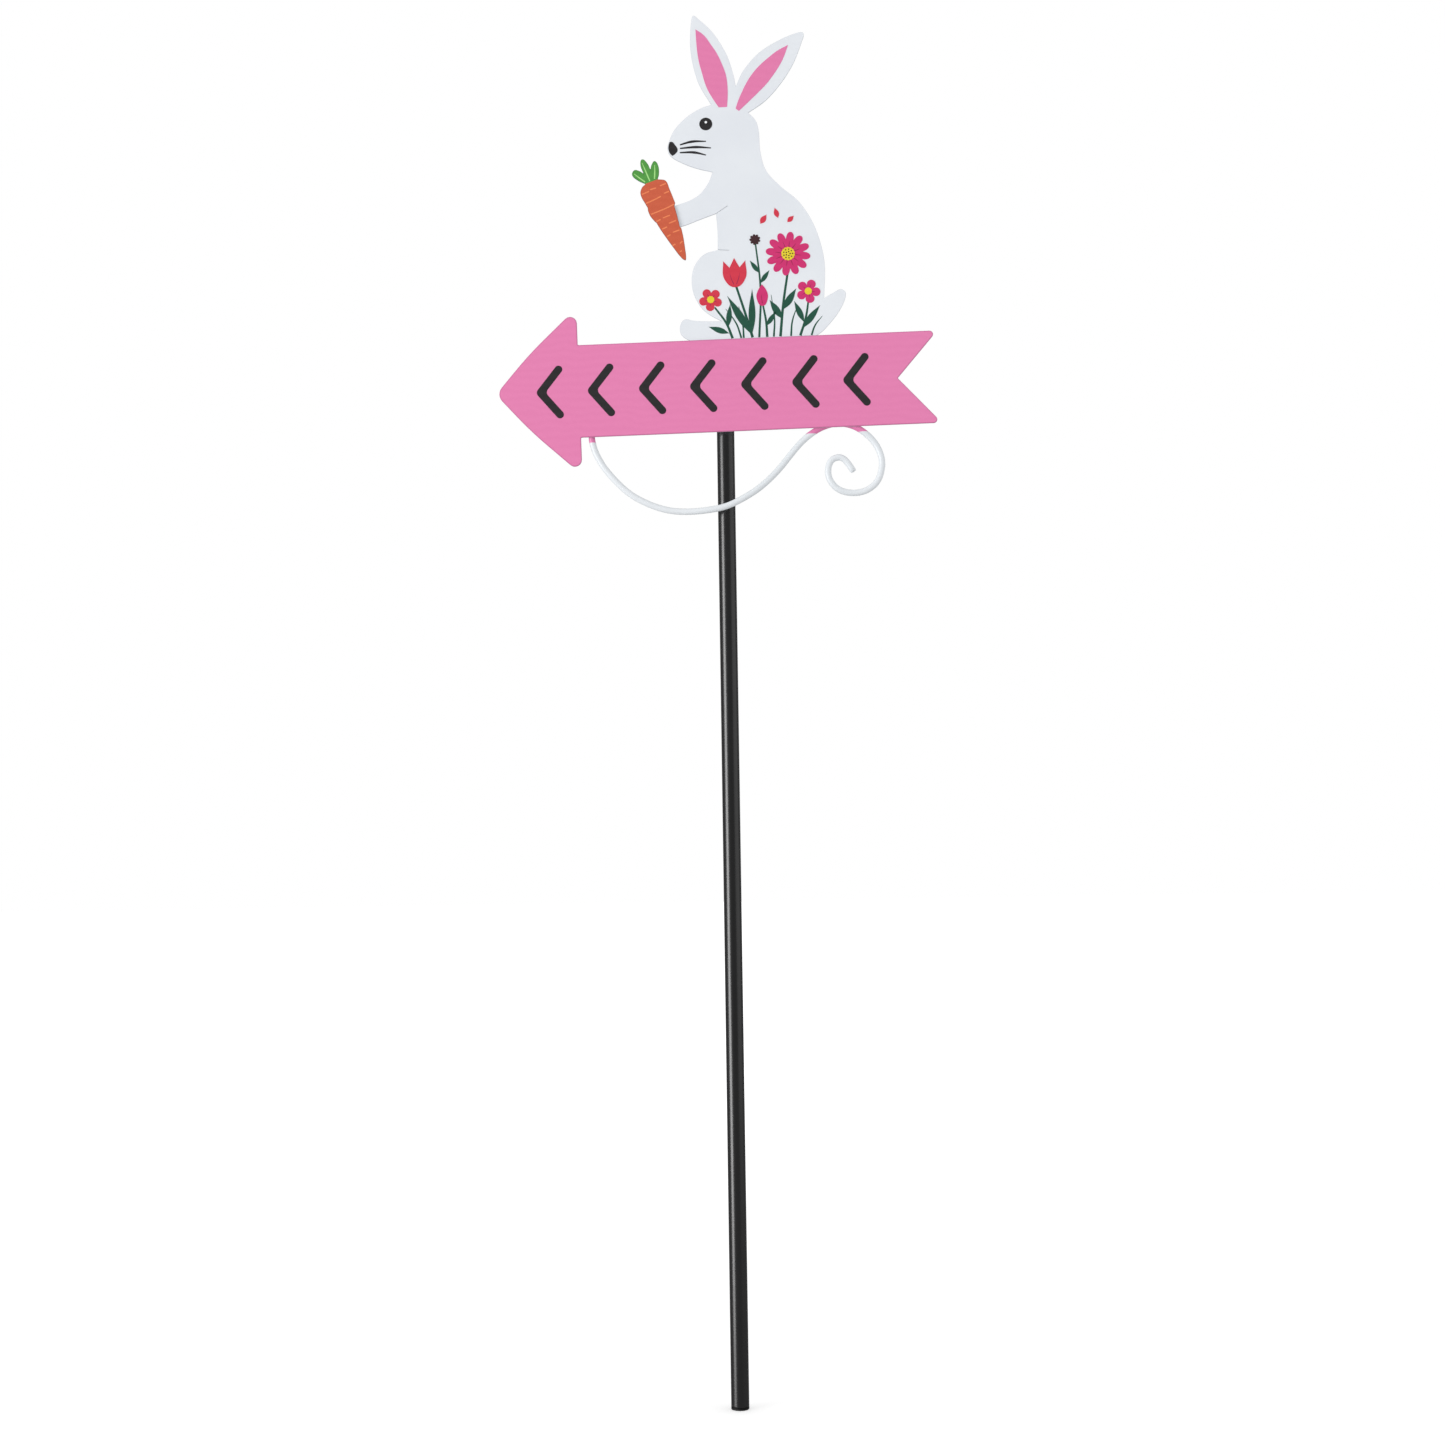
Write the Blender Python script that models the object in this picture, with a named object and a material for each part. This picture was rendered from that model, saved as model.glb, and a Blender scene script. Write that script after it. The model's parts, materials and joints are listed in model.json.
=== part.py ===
"""Garden sign: a rabbit with a carrot stands on a pointing arrow, over a scroll of wire, on a plain post.

Metres, +Z up. The origin is the centre of the post's foot, and the sign faces -Y.
The sign lifts off the post along Z and turns about the post's axis, and a thumb screw behind it clamps it.
"""

import math

import bmesh
import bpy
from mathutils import Vector
from mathutils.geometry import interpolate_bezier

# Fits
SEAT_GAP = 0.0003  # between pieces that bear on each other or are welded together
PLUG_FIT = 0.0002  # round a plug's stem in the tube
SOCKET_FIT = 0.0002  # round the post in its socket
SCREW_FIT = 0.0003  # round the screw's shank

# Post: a steel tube with a plastic plug in each end
POST_DIAMETER = 0.0132
POST_WALL = 0.0010
PLUG_STEM = 0.0150
FOOT_PLUG_HEAD = 0.0016
FOOT_PLUG_ROUNDING = 0.0004
TOP_PLUG_HEAD = 0.0015

# Sign: its place on the post, and its lean to the left
SIGN_HEIGHT = 0.7560  # from the foot to the middle of the board
SIGN_LEAN = math.radians(1.55)
SHEET = 0.0012  # thickness of the three plates

# Socket on the sign's back, with a nylon disc under its closed top
SOCKET_LENGTH = 0.0780
SOCKET_WALL = 0.0012
SOCKET_INSET = 0.0034  # the mouth's height above the board's lower edge
STOP_DISC = 0.0020

# Thumb screw and its nut
SCREW_DIAMETER = 0.0050
SCREW_NECK = 0.0040  # bare shank between nut and knob
NUT_WIDTH = 0.0080  # across flats
NUT_HEIGHT = 0.0040
KNOB_DIAMETER = 0.0140
KNOB_LENGTH = 0.0060
KNURL_DEPTH = 0.0005
KNURLS = 20

# Arrow board: corners are given before they are rounded
TIP_REACH = 0.1726  # from the post's axis
TAIL_REACH = 0.1620
HEAD_LENGTH = 0.0629
HEAD_HEIGHT = 0.1281
HEAD_BEND_BACK = 0.0259  # the bend in the head's edge, behind the tip
HEAD_BEND_RISE = 0.0297  # and above the arrow's middle line
SHAFT_HEIGHT = 0.0708
NOTCH_DEPTH = 0.0317
TIP_RADIUS = 0.0080
HEAD_EDGE_RADIUS = 0.3000
LOBE_RADIUS = 0.0052
INNER_RADIUS = 0.0008
TAIL_RADIUS = 0.0028

# Rabbit: ear tips above the board's upper edge, and the tab that runs down behind the board
RABBIT_HEIGHT = 0.2528
TAB_DEPTH = 0.0450
TAB_SHOULDER = 0.0006  # below the board's upper edge
TAB_LEFT = 0.0220  # from the post's axis
TAB_RIGHT = 0.0640

# Scroll wire
WIRE_DIAMETER = 0.0048
SCROLL_WIDTH = 0.2174  # between the centre lines of its left end and its curl
SCROLL_DROP = 0.0591  # from the board's lower edge to the lowest centre line
SCROLL_INSET = 0.0078  # from the back of the arrow's head to the left end
BOW_RUN = 0.0300  # length beside the post over which the wire comes forward to pass it

# Weld beads
SOCKET_BEAD = 0.0024  # diameter
SOCKET_BEAD_LENGTH = 0.0360
PLATE_BEAD = 0.0016
TAB_BEAD_LENGTH = 0.0240
TAB_BEAD_OFFSET = 0.0030  # between the socket's side and the bead's near end
CARROT_BEAD_LENGTH = 0.0080
WIRE_BEAD = 0.0020
WIRE_BEAD_LENGTH = 0.0050

MOST_FILLET = 0.49  # of a side, at each of its ends
ROUND_SIDES = 48
FILLET_STEPS = 6
KNOT_STEPS = 6
WIRE_SIDES = 12

# Worked out from the sizes above
POST_RADIUS = POST_DIAMETER / 2
TUBE_BORE = POST_RADIUS - POST_WALL
SOCKET_BORE = POST_RADIUS + SOCKET_FIT
SOCKET_RADIUS = SOCKET_BORE + SOCKET_WALL
SCREW_RADIUS = SCREW_DIAMETER / 2
WIRE_RADIUS = WIRE_DIAMETER / 2
BOARD_EDGE = SHAFT_HEIGHT / 2  # the shaft's edges above and below the board's middle
HEAD_BACK = HEAD_LENGTH - TIP_REACH
SOCKET_MOUTH = SOCKET_INSET - BOARD_EDGE
SOCKET_TOP = SOCKET_MOUTH + SOCKET_LENGTH
STOP_TOP = SOCKET_TOP - SOCKET_WALL - SEAT_GAP
STOP_BOTTOM = STOP_TOP - STOP_DISC
POST_TOP = SIGN_HEIGHT + STOP_BOTTOM - SEAT_GAP
RABBIT_BACK = -(SOCKET_RADIUS + SEAT_GAP)
BOARD_BACK = RABBIT_BACK - SHEET - SEAT_GAP
WIRE_AT_BOARD = BOARD_BACK + SEAT_GAP + WIRE_RADIUS
WIRE_AT_POST = -(POST_RADIUS + SEAT_GAP + WIRE_RADIUS)
SCROLL_LEFT = HEAD_BACK + SCROLL_INSET

CORNER = "corner"  # marks a knot where an outline turns sharply

# The rabbit and its carrot are drawn together: x from the post's axis, z from the board's upper edge,
# in units that RABBIT_HEIGHT sets. The rabbit runs clockwise from its foot to its tail.
PAW_END = (-41.0, 95.0)  # behind the carrot
RABBIT = [
    # foot, and the notch over it
    (-25.0, 0.2), (-30.8, 4.4), (-32.2, 9.8), (-30.3, 15.1), (-27.0, 16.8), (-22.0, 15.5),
    (-13.0, 14.6), (-0.5, 14.2, CORNER),
    # thigh, and the slit along its top
    (-10.5, 20.4), (-17.0, 27.7), (-21.6, 41.0), (-19.8, 56.0), (-11.8, 66.0), (-1.2, 69.1, CORNER),
    (7.4, 68.3, CORNER), (7.4, 68.7, CORNER), (-1.0, 69.5, CORNER),
    # chest, and the slit in the armpit
    (-0.6, 84.0), (-1.1, 97.0, CORNER), (7.9, 102.8, CORNER), (7.7, 103.1, CORNER), (-1.3, 97.4, CORNER),
    # arm, with the paw behind the carrot
    (-13.5, 93.3), (-26.6, 88.8), (-35.5, 87.8), PAW_END, (-38.0, 102.6), (-30.5, 105.3),
    (-20.5, 108.4), (-12.7, 113.1), (-6.0, 121.5), (-2.5, 129.8, CORNER),
    # chin, nose and face
    (-15.0, 133.3), (-24.7, 137.5), (-33.6, 143.2), (-36.1, 149.4), (-34.0, 156.4), (-29.7, 164.5),
    (-20.5, 173.4), (-10.0, 179.6), (-1.3, 182.3, CORNER),
    # left ear
    (-10.0, 198.8), (-14.3, 216.0), (-15.5, 232.0), (-13.6, 250.2), (-12.1, 252.8), (-9.0, 250.6),
    (2.0, 239.0), (11.6, 222.0), (16.4, 206.0), (18.0, 195.8, CORNER),
    # right ear
    (24.0, 207.7), (36.4, 221.3), (53.3, 231.2), (68.0, 236.4), (71.4, 235.4), (70.4, 230.4),
    (62.4, 211.8), (52.0, 196.4), (40.0, 183.8), (26.7, 175.0, CORNER),
    # back
    (32.0, 168.4), (34.0, 160.0), (34.4, 145.0), (38.2, 129.2), (49.0, 116.2), (62.4, 103.6),
    (73.4, 83.6), (79.3, 57.0), (77.8, 28.7, CORNER),
    # tail
    (84.6, 32.4), (91.0, 35.0), (94.4, 31.4), (90.2, 20.6), (82.1, 10.0), (71.9, 0.8),
]

# The carrot runs clockwise from the left of its crown.
CARROT = [
    # leaves
    (-53.7, 122.1, CORNER), (-59.3, 125.0), (-63.6, 129.4), (-61.8, 133.2), (-58.0, 132.4),
    (-54.9, 130.3, CORNER), (-57.0, 137.0), (-55.6, 141.4), (-51.8, 138.2), (-49.6, 133.2, CORNER),
    (-48.4, 137.2), (-46.0, 139.7), (-43.4, 135.6), (-43.2, 129.6), (-44.4, 125.4, CORNER),
    # root, which steps in a little at its growth lines
    (-39.2, 124.6), (-37.2, 122.4), (-35.8, 118.0), (-33.8, 112.4), (-31.8, 106.5, CORNER),
    (-32.5, 104.2, CORNER), (-30.5, 95.7), (-29.1, 88.4, CORNER), (-27.8, 86.3, CORNER), (-26.6, 79.4),
    (-25.6, 70.0), (-25.2, 64.4), (-26.0, 61.9), (-29.8, 65.2), (-34.4, 71.8), (-39.0, 78.8),
    (-44.1, 87.0), (-46.7, 91.9, CORNER), (-47.6, 92.5, CORNER), (-50.9, 96.8), (-52.6, 101.0, CORNER),
    (-52.8, 103.6, CORNER), (-54.8, 107.4), (-57.0, 111.6), (-57.9, 115.6), (-56.4, 119.6),
]

# The scroll's centre line: x from its left end, z from the board's lower edge, in units that
# SCROLL_WIDTH and SCROLL_DROP set.
SCROLL_END = (0.0, 4.4)  # behind the board, where it is welded
SCROLL_CREST = (185.8, 3.5)  # the top of the curl, welded to the board too
SCROLL = [
    # left end behind the board, and the long bow under it
    SCROLL_END, (0.4, -3.1), (3.6, -13.8), (10.9, -26.3), (25.8, -42.6), (41.0, -52.1), (56.3, -57.5),
    (71.7, -59.1), (87.1, -58.5), (99.6, -56.2), (113.4, -50.1), (125.4, -42.6), (138.8, -30.6),
    # up behind the board and round the curl
    (154.7, -12.6), (163.4, -4.9), (173.9, 1.1), SCROLL_CREST, (196.9, 1.1), (205.4, -4.4), (212.4, -12.1),
    (216.7, -21.6), (217.3, -30.6), (213.4, -41.6), (204.9, -48.3), (193.9, -49.9), (183.9, -46.8),
    (177.9, -39.6), (176.7, -31.6), (179.5, -24.6), (185.4, -22.4), (189.9, -24.8), (196.1, -34.0),
]


def clear_scene():
    for thing in list(bpy.data.objects):
        bpy.data.objects.remove(thing)


def coat(name, colour, roughness, metallic=0.0):
    material = bpy.data.materials.new(name)
    material.use_nodes = True
    shader = material.node_tree.nodes["Principled BSDF"]
    shader.inputs["Base Color"].default_value = (*colour, 1.0)
    shader.inputs["Roughness"].default_value = roughness
    shader.inputs["Metallic"].default_value = metallic
    return material


def add_object(name, data, material, parent=None):
    thing = bpy.data.objects.new(name, data)
    data.materials.append(material)
    thing.parent = parent
    bpy.context.scene.collection.objects.link(thing)
    return thing


def empty(name, location=(0, 0, 0), parent=None):
    thing = bpy.data.objects.new(name, None)
    thing.location = location
    thing.parent = parent
    bpy.context.scene.collection.objects.link(thing)
    return thing


def finish_mesh(name, shape, material, parent=None, smooth_below=math.radians(35)):
    bmesh.ops.recalc_face_normals(shape, faces=shape.faces)
    mesh = bpy.data.meshes.new(name)
    shape.to_mesh(mesh)
    shape.free()
    mesh.shade_smooth()
    mesh.set_sharp_from_angle(angle=smooth_below)
    return add_object(name, mesh, material, parent)


def turned(name, profile, material, parent=None):
    """A solid turned about Z from points (radius, height). A profile that starts on the axis ends on it."""
    shape = bmesh.new()
    points = [shape.verts.new((radius, 0, height)) for radius, height in profile]
    pairs = list(zip(points, points[1:]))
    if profile[0][0] > 0:
        pairs.append((points[-1], points[0]))
    edges = [shape.edges.new(pair) for pair in pairs]
    bmesh.ops.spin(
        shape, geom=points + edges, cent=(0, 0, 0), axis=(0, 0, 1), angle=2 * math.pi, steps=ROUND_SIDES
    )
    bmesh.ops.remove_doubles(shape, verts=shape.verts, dist=1e-6)
    return finish_mesh(name, shape, material, parent)


def prism(shape, outline, start, depth, upright=True):
    """Fills an outline and extrudes it along -Y from y = start, or along +Z from z = start."""
    if upright:
        corners = [(across, start, along) for across, along in outline]
        step = Vector((0, -depth, 0))
    else:
        corners = [(across, along, start) for across, along in outline]
        step = Vector((0, 0, depth))
    face = shape.faces.new([shape.verts.new(corner) for corner in corners])
    raised = bmesh.ops.extrude_face_region(shape, geom=[face])["geom"]
    bmesh.ops.translate(shape, verts=[v for v in raised if isinstance(v, bmesh.types.BMVert)], vec=step)


def plate(name, outline, back, material, parent):
    """A sheet cut to an outline of (x, z) points, with its back at this y."""
    shape = bmesh.new()
    prism(shape, outline, back, SHEET)
    return finish_mesh(name, shape, material, parent)


def bead(name, centre, diameter, length, direction, material, parent):
    """A weld bead: an ellipsoid that is long in one direction."""
    shape = bmesh.new()
    bmesh.ops.create_uvsphere(shape, u_segments=12, v_segments=8, radius=diameter / 2)
    bmesh.ops.scale(shape, vec=(1, 1, length / diameter), verts=shape.verts)
    weld = finish_mesh(name, shape, material, parent)
    weld.location = centre
    weld.rotation_mode = "QUATERNION"
    weld.rotation_quaternion = Vector((0, 0, 1)).rotation_difference(Vector(direction))
    return weld


def combine(piece, tool, operation):
    """Cuts the tool out of the piece, or joins it to the piece, and keeps the tool itself out of sight."""
    tool.hide_render = True
    tool.display_type = "WIRE"
    change = piece.modifiers.new(tool.name, "BOOLEAN")
    change.operation = operation
    change.object = tool


def regular_polygon(corners, radius, dent=0.0):
    """Points round a circle. With a dent, every second one lies that much nearer the centre."""
    points = []
    for index in range(corners):
        angle = 2 * math.pi * index / corners
        reach = radius - dent * (index % 2)
        points.append((reach * math.cos(angle), reach * math.sin(angle)))
    return points


def rounded(corners):
    """Points round a polygon of (x, z, radius) corners, with an arc at each as large as its sides allow."""
    points = []
    for index, (x, z, radius) in enumerate(corners):
        corner = Vector((x, z))
        before = Vector(corners[index - 1][:2]) - corner
        after = Vector(corners[(index + 1) % len(corners)][:2]) - corner
        half_turn = (math.pi - before.angle(after)) / 2
        cut = min(radius * math.tan(half_turn), MOST_FILLET * before.length, MOST_FILLET * after.length)
        start = corner + before.normalized() * cut
        end = corner + after.normalized() * cut
        handle = 4 / 3 * math.tan(half_turn / 2) / math.tan(half_turn)
        arc = interpolate_bezier(
            start, start.lerp(corner, handle), end.lerp(corner, handle), end, FILLET_STEPS + 1
        )
        points += [(point.x, point.y) for point in arc]
    return points


def smooth(knots, closed):
    """Points along a curve through (x, z) knots. It is smooth except at the knots marked CORNER."""
    places = [Vector(knot[:2]) for knot in knots]
    count = len(places)
    tangents = []
    for index, knot in enumerate(knots):
        loose_end = not closed and index in (0, count - 1)
        if loose_end or CORNER in knot[2:]:
            tangents.append(None)
        else:
            tangents.append((places[(index + 1) % count] - places[index - 1]).normalized())
    points = []
    for index in range(count if closed else count - 1):
        following = (index + 1) % count
        start, end = places[index], places[following]
        leave, arrive = tangents[index], tangents[following]
        span = end - start
        first_handle = start + (span if leave is None else leave * span.length) / 3
        last_handle = end - (span if arrive is None else arrive * span.length) / 3
        straight = leave is None and arrive is None
        steps = 1 if straight else KNOT_STEPS
        stretch = interpolate_bezier(start, first_handle, last_handle, end, steps + 1)
        points += [(point.x, point.y) for point in stretch[:-1]]
    if not closed:
        points.append(tuple(places[-1]))
    return points


def drawn(knots, scale, rise):
    """Knots in metres: scaled from drawing units, and raised to the edge they stand on."""
    return [(x * scale, z * scale + rise, *corner) for x, z, *corner in knots]


def arrow_outline():
    upper = [
        (HEAD_BEND_BACK - TIP_REACH, HEAD_BEND_RISE, HEAD_EDGE_RADIUS),
        (HEAD_BACK, HEAD_HEIGHT / 2, LOBE_RADIUS),
        (HEAD_BACK, BOARD_EDGE, INNER_RADIUS),
        (TAIL_REACH, BOARD_EDGE, TAIL_RADIUS),
    ]
    lower = [(x, -z, radius) for x, z, radius in reversed(upper)]
    tip = (-TIP_REACH, 0, TIP_RADIUS)
    notch = (TAIL_REACH - NOTCH_DEPTH, 0, INNER_RADIUS)
    return rounded([tip, *upper, notch, *lower])


def build_post(black, plastic):
    tube_foot = FOOT_PLUG_HEAD + SEAT_GAP
    tube_top = POST_TOP - TOP_PLUG_HEAD - SEAT_GAP
    stem_radius = TUBE_BORE - PLUG_FIT
    turned(
        "post_tube",
        [(POST_RADIUS, tube_top), (POST_RADIUS, tube_foot), (TUBE_BORE, tube_foot), (TUBE_BORE, tube_top)],
        black,
    )
    turned(
        "post_foot_plug",
        [
            (0, FOOT_PLUG_HEAD + PLUG_STEM),
            (stem_radius, FOOT_PLUG_HEAD + PLUG_STEM),
            (stem_radius, FOOT_PLUG_HEAD),
            (POST_RADIUS, FOOT_PLUG_HEAD),
            (POST_RADIUS, FOOT_PLUG_ROUNDING),
            (POST_RADIUS - FOOT_PLUG_ROUNDING, 0),
            (0, 0),
        ],
        plastic,
    )
    turned(
        "post_top_plug",
        [
            (0, POST_TOP),
            (POST_RADIUS, POST_TOP),
            (POST_RADIUS, POST_TOP - TOP_PLUG_HEAD),
            (stem_radius, POST_TOP - TOP_PLUG_HEAD),
            (stem_radius, POST_TOP - TOP_PLUG_HEAD - PLUG_STEM),
            (0, POST_TOP - TOP_PLUG_HEAD - PLUG_STEM),
        ],
        plastic,
    )


def build_socket(swivel, white, nylon):
    turned(
        "stop_disc",
        [(0, STOP_TOP), (POST_RADIUS, STOP_TOP), (POST_RADIUS, STOP_BOTTOM), (0, STOP_BOTTOM)],
        nylon,
        swivel,
    )
    socket = turned(
        "socket_tube",
        [
            (0, SOCKET_TOP),
            (SOCKET_RADIUS, SOCKET_TOP),
            (SOCKET_RADIUS, SOCKET_MOUTH),
            (SOCKET_BORE, SOCKET_MOUTH),
            (SOCKET_BORE, SOCKET_TOP - SOCKET_WALL),
            (0, SOCKET_TOP - SOCKET_WALL),
        ],
        white,
        swivel,
    )
    cutter = bmesh.new()
    hole = regular_polygon(ROUND_SIDES, SCREW_RADIUS + SCREW_FIT)
    prism(cutter, hole, 2 * SOCKET_RADIUS, 2 * SOCKET_RADIUS)
    combine(socket, finish_mesh("screw_hole", cutter, white, swivel), "DIFFERENCE")

    side = SOCKET_RADIUS + SEAT_GAP + SOCKET_BEAD / 2
    depth = RABBIT_BACK + SEAT_GAP + SOCKET_BEAD / 2
    across = math.sqrt(side**2 - depth**2)
    middle = BOARD_EDGE - TAB_DEPTH / 2
    for name, x in (("socket_weld_left", -across), ("socket_weld_right", across)):
        bead(name, (x, depth, middle), SOCKET_BEAD, SOCKET_BEAD_LENGTH, (0, 0, 1), white, swivel)


def build_screw(swivel, zinc):
    """The nut and the screw lie along Y behind the socket. Both are made along Z and then laid down."""
    nut_seat = SOCKET_RADIUS + SEAT_GAP
    tip = POST_RADIUS + SEAT_GAP
    knob_start = nut_seat + NUT_HEIGHT + SCREW_NECK
    shape = bmesh.new()
    prism(shape, regular_polygon(6, NUT_WIDTH / math.sqrt(3)), 0, NUT_HEIGHT, upright=False)
    nut = finish_mesh("weld_nut", shape, zinc, swivel)
    cutter = bmesh.new()
    bore = regular_polygon(ROUND_SIDES, SCREW_RADIUS + SCREW_FIT)
    prism(cutter, bore, -NUT_HEIGHT, 3 * NUT_HEIGHT, upright=False)
    combine(nut, finish_mesh("nut_bore", cutter, zinc, nut), "DIFFERENCE")
    nut.location = (0, nut_seat, 0)
    nut.rotation_euler = (-math.pi / 2, 0, 0)

    shape = bmesh.new()
    shank_length = knob_start + KNOB_LENGTH / 2 - tip
    prism(shape, regular_polygon(ROUND_SIDES, SCREW_RADIUS), 0, shank_length, upright=False)
    screw = finish_mesh("thumb_screw", shape, zinc, swivel)
    shape = bmesh.new()
    knob_outline = regular_polygon(2 * KNURLS, KNOB_DIAMETER / 2, KNURL_DEPTH)
    prism(shape, knob_outline, knob_start - tip, KNOB_LENGTH, upright=False)
    combine(screw, finish_mesh("screw_knob", shape, zinc, screw), "UNION")
    screw.location = (0, tip, 0)
    screw.rotation_euler = (-math.pi / 2, 0, 0)


def build_plates(lean, white, pink, orange):
    plate("arrow_board", arrow_outline(), BOARD_BACK, pink, lean)
    scale = RABBIT_HEIGHT / max(knot[1] for knot in RABBIT)
    tab = [
        (TAB_RIGHT, BOARD_EDGE - TAB_SHOULDER, CORNER),
        (TAB_RIGHT, BOARD_EDGE - TAB_DEPTH, CORNER),
        (-TAB_LEFT, BOARD_EDGE - TAB_DEPTH, CORNER),
        (-TAB_LEFT, BOARD_EDGE - TAB_SHOULDER, CORNER),
    ]
    plate("rabbit_plate", smooth(drawn(RABBIT, scale, BOARD_EDGE) + tab, True), RABBIT_BACK, white, lean)
    plate("carrot_plate", smooth(drawn(CARROT, scale, BOARD_EDGE), True), BOARD_BACK, orange, lean)

    bead_depth = BOARD_BACK + SEAT_GAP + PLATE_BEAD / 2
    beside = SEAT_GAP + PLATE_BEAD / 2
    tab_edge = BOARD_EDGE - TAB_DEPTH - beside
    reach = SOCKET_RADIUS + TAB_BEAD_OFFSET
    for name, side, end in (("tab_weld_left", -1, TAB_LEFT), ("tab_weld_right", 1, TAB_RIGHT)):
        length = min(TAB_BEAD_LENGTH, end - reach)
        x = side * (reach + length / 2)
        bead(name, (x, bead_depth, tab_edge), PLATE_BEAD, length, (1, 0, 0), white, lean)
    paw_x, paw_z = drawn([PAW_END], scale, BOARD_EDGE)[0]
    paw_bead = (paw_x - beside, bead_depth, paw_z)
    bead("carrot_weld", paw_bead, PLATE_BEAD, CARROT_BEAD_LENGTH, (0, 0, 1), white, lean)


def wire_depth(x, z):
    """The wire's y at this place: it lies against the board's back, and comes forward to pass the post.
    Over the last two diameters below the board's edge it goes back behind the board."""
    aside = (abs(x) - POST_RADIUS - WIRE_RADIUS) / BOW_RUN
    under = (-BOARD_EDGE - WIRE_RADIUS - SEAT_GAP - z) / (2 * WIRE_DIAMETER)
    back = min(max(aside, 1 - under, 0), 1)
    ease = back * back * (3 - 2 * back)
    return WIRE_AT_POST + (WIRE_AT_BOARD - WIRE_AT_POST) * ease


def build_scroll(lean, white):
    across = SCROLL_WIDTH / max(knot[0] for knot in SCROLL)
    down = SCROLL_DROP / -min(knot[1] for knot in SCROLL)

    def place(x, z):
        return x * across + SCROLL_LEFT, z * down - BOARD_EDGE

    path = smooth([place(x, z) for x, z in SCROLL], False)
    curve = bpy.data.curves.new("scroll_wire", "CURVE")
    curve.dimensions = "3D"
    curve.bevel_depth = WIRE_RADIUS
    curve.bevel_resolution = (WIRE_SIDES - 4) // 2
    curve.use_fill_caps = True
    spline = curve.splines.new("POLY")
    spline.points.add(len(path) - 1)
    for point, (x, z) in zip(spline.points, path):
        point.co = (x, wire_depth(x, z), z, 1)
    add_object("scroll_wire", curve, white, lean)

    bead_depth = BOARD_BACK + SEAT_GAP + WIRE_BEAD / 2
    reach = WIRE_RADIUS + SEAT_GAP + WIRE_BEAD / 2
    aside = math.sqrt(reach**2 - (WIRE_AT_BOARD - bead_depth) ** 2)
    end_x, end_z = place(*SCROLL_END)
    left = (end_x + aside, bead_depth, end_z)
    bead("wire_weld_left", left, WIRE_BEAD, WIRE_BEAD_LENGTH, (0, 0, 1), white, lean)
    crest_x, crest_z = place(*SCROLL_CREST)
    right = (crest_x, bead_depth, crest_z + aside)
    bead("wire_weld_right", right, WIRE_BEAD, WIRE_BEAD_LENGTH, (1, 0, 0), white, lean)


clear_scene()
black_coat = coat("black_coat", (0.024, 0.025, 0.027), 0.38)
black_plastic = coat("black_plastic", (0.018, 0.018, 0.019), 0.55)
white_coat = coat("white_coat", (0.78, 0.81, 0.84), 0.40)
pink_coat = coat("pink_coat", (0.80, 0.21, 0.44), 0.42)
orange_coat = coat("orange_coat", (0.69, 0.12, 0.045), 0.42)
nylon_grey = coat("nylon", (0.70, 0.68, 0.62), 0.50)
zinc_plate = coat("zinc_plate", (0.60, 0.60, 0.58), 0.32, 1.0)

build_post(black_coat, black_plastic)
swivel_axis = empty("sign_swivel", (0, 0, SIGN_HEIGHT))
build_socket(swivel_axis, white_coat, nylon_grey)
build_screw(swivel_axis, zinc_plate)
leaning_sign = empty("sign_lean", parent=swivel_axis)
leaning_sign.rotation_euler = (0, -SIGN_LEAN, 0)
build_plates(leaning_sign, white_coat, pink_coat, orange_coat)
build_scroll(leaning_sign, white_coat)
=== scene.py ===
import json
import math

import bmesh
import bpy
from mathutils import Matrix, Vector


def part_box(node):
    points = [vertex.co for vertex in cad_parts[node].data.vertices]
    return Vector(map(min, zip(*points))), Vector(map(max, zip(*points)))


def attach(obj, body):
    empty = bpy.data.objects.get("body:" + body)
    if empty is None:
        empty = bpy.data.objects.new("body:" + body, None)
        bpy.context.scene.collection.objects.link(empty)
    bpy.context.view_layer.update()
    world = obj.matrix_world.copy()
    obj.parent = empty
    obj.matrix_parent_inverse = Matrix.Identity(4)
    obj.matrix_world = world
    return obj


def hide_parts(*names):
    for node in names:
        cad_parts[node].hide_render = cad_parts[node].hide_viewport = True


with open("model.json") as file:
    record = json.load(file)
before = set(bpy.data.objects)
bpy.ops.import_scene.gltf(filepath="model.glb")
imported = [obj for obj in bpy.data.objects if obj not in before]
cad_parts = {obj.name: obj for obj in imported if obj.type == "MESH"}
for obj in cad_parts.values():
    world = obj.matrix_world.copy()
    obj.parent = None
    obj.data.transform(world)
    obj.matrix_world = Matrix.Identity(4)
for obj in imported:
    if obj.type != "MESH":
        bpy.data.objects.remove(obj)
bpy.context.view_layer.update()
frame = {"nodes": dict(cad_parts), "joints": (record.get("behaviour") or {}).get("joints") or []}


# Post: half-inch steel tube, sawn square at both ends and powder-coated satin black.
# It carries the sign, and its lower end is pushed into the soil.
POST_WALL = 0.0010
POST_SIDES = 96
SAWN_EDGE = 0.0002
END_RING = 0.0010
SHARP = math.radians(40)
MERGED = 1e-7
CLOUD = 0.040
DIMPLE = 0.0025
DIMPLE_DEPTH = 0.0002


def linear(code):
    """An sRGB hex colour as linear values with alpha."""
    channels = [int(code[start : start + 2], 16) / 255 for start in (0, 2, 4)]
    return (*[c / 12.92 if c <= 0.04045 else ((c + 0.055) / 1.055) ** 2.4 for c in channels], 1.0)


def add(tree, kind, links=None, **settings):
    """Adds a node. links gives sockets or plain values to its inputs, and settings its own properties."""
    made = tree.nodes.new("ShaderNode" + kind)
    for name, value in settings.items():
        setattr(made, name, value)
    for name, value in (links or {}).items():
        if isinstance(value, bpy.types.NodeSocket):
            tree.links.new(value, made.inputs[name])
        else:
            made.inputs[name].default_value = value
    return made


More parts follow.
